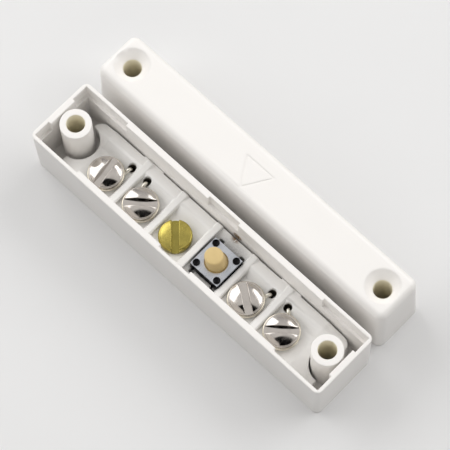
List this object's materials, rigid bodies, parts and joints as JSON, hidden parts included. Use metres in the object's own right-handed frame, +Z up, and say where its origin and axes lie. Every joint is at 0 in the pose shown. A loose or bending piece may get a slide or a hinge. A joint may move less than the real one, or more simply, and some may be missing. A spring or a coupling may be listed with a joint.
{
  "type": "magnetic door contact",
  "caption": "Surface-mounted magnetic door contact: open switch unit with reed switch, clamp-screw terminals and tamper button, and its separate magnet unit.",
  "frame": {"origin": "centre of the switch unit's underside, on the surface that both units are mounted on", "axes": "+X along both units, +Y from the switch unit to the magnet unit, +Z up out of the mounting surface"},
  "size_m": [0.0645, 0.0248, 0.0124],
  "materials": {
    "housing_plastic": "moulded ABS, slightly glossy",
    "carrier_plastic": "moulded, satin",
    "nickel_plate": "bright nickel plate",
    "washer_plate": "bright plate with brassy edges",
    "brass": "turned brass, slightly tarnished",
    "nut_steel": "plain zinc plate",
    "tinned_wire": "tinned copper",
    "reed_glass": "clear greenish glass",
    "reed_metal": "tinned nickel iron",
    "switch_black": "matte black",
    "switch_cover_steel": "tinned sheet, satin",
    "terminal_metal": "silver plated strip",
    "button_cream": "moulded, satin",
    "ferrite": "sintered, dull"
  },
  "bodies": {
    "units": {"bar_magnet": "ferrite", "clamp_washer_1": "washer_plate", "clamp_washer_2": "washer_plate", "clamp_washer_4": "washer_plate", "clamp_washer_5": "washer_plate", "magnet_back_plate": "housing_plastic", "magnet_housing": "housing_plastic", "reed_blade_left": "reed_metal", "reed_blade_right": "reed_metal", "reed_capsule": "reed_glass", "reed_wire_left": "tinned_wire", "reed_wire_right": "tinned_wire", "switch_base": "housing_plastic", "tamper_body": "switch_black", "tamper_cover_plate": "switch_cover_steel", "tamper_dome": "terminal_metal", "tamper_terminal_left": "terminal_metal", "tamper_terminal_right": "terminal_metal", "tamper_wire_left": "tinned_wire", "tamper_wire_right": "tinned_wire", "terminal_carrier": "carrier_plastic", "terminal_nut_1": "nut_steel", "terminal_nut_2": "nut_steel", "terminal_nut_3": "nut_steel", "terminal_nut_4": "nut_steel", "terminal_nut_5": "nut_steel", "terminal_screw_1": "nickel_plate", "terminal_screw_2": "nickel_plate", "terminal_screw_3": "brass", "terminal_screw_4": "nickel_plate", "terminal_screw_5": "nickel_plate"},
    "button": {"tamper_plunger": "button_cream"}
  },
  "joints": [
    {"name": "tamper_press", "type": "slide", "parent": "units", "child": "button", "axis": [0, 0, -1], "range_m": [0, 0.00025], "stiffness_N_per_m": 6400, "deforming": ["tamper_dome"]}
  ]
}
